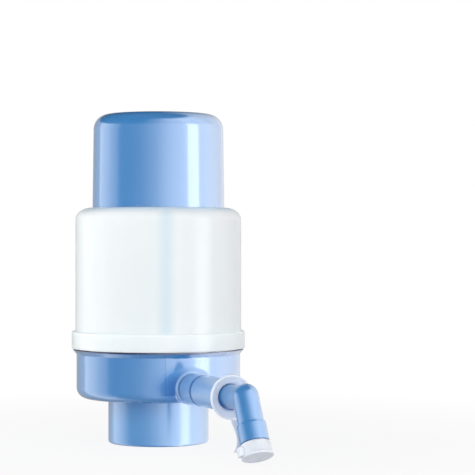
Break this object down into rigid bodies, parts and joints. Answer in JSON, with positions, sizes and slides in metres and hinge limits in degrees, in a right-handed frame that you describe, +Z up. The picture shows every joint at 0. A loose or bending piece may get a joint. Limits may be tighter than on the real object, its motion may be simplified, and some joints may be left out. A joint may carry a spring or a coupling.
{
  "type": "water jug hand pump",
  "caption": "Hand pump for a large water jug: blue press cap on a milky round body, blue base with neck collar, and a bent swivelling spout with a tethered white closing cap.",
  "frame": {"origin": "on the pump's upright axis, in the plane of the neck collar's bottom rim, which is where the bottle's neck enters and where the pump stands", "axes": "+Z up along the pump's axis, the spout points along -Y, +X to the right when looking along +Y"},
  "size_m": [0.108, 0.2086, 0.205],
  "materials": {
    "blue_plastic": "glossy injection-moulded polypropylene, light blue",
    "milky_plastic": "glossy milky white polypropylene that lets a little light through",
    "milky_soft_plastic": "blow-moulded soft polyethylene, satin",
    "white_soft_plastic": "soft white polyethylene, satin",
    "white_plastic": "plain white moulded plastic, satin",
    "silicone": "food-grade silicone rubber, matt",
    "stainless_steel": "bright drawn stainless wire and screws"
  },
  "bodies": {
    "base": {"base_housing": "blue_plastic", "water_riser": "white_plastic", "cross_tube": "white_plastic", "riser_oring": "silicone", "deck_gasket": "silicone", "valve_deck": "white_plastic", "outlet_valve": "silicone", "deck_screws": "stainless_steel", "bellows": "milky_soft_plastic", "bellows_clamp_ring": "white_plastic", "return_spring": "stainless_steel", "outer_body": "milky_plastic", "spout_nut": "blue_plastic", "spout_gasket": "silicone", "spout_arm": "blue_plastic"},
    "press_cap": {"press_cap": "blue_plastic", "cap_insert": "white_plastic", "intake_valve": "silicone", "bellows_band": "stainless_steel"},
    "seal_carrier": {"thrust_washer": "white_plastic", "neck_seal": "silicone"},
    "collar": {"neck_collar": "blue_plastic"},
    "elbow": {"spout_elbow": "blue_plastic", "elbow_oring": "silicone", "nozzle_tip": "blue_plastic", "tether_ring": "white_soft_plastic", "cap_strap": "white_soft_plastic"},
    "closing_cap": {"spout_cap": "white_soft_plastic"}
  },
  "joints": [
    {"name": "press_stroke", "type": "slide", "parent": "base", "child": "press_cap", "axis": [0, 0, -1], "range_m": [0, 0.042], "stiffness_N_per_m": 350, "springref_m": -0.02, "deforming": ["bellows", "return_spring"]},
    {"name": "collar_lift", "type": "slide", "parent": "base", "child": "seal_carrier", "axis": [0, 0, -1], "range_m": [0, 0.003]},
    {"name": "collar_turn", "type": "hinge", "parent": "seal_carrier", "child": "collar", "pos_m": [0, 0, 0], "axis": [0, 0, -1], "range_deg": [0, 270]},
    {"name": "elbow_swivel", "type": "hinge", "parent": "base", "child": "elbow", "pos_m": [0, -0.1, 0.0371], "axis": [0, -1, 0], "continuous": true},
    {"name": "closing_cap_pull", "type": "slide", "parent": "elbow", "child": "closing_cap", "axis": [0, -0.4446, -0.8957], "range_m": [0, 0.008]}
  ],
  "couplings": [
    {"joint": "collar_turn", "follows": "collar_lift", "rad_per_m": 1570.8}
  ]
}
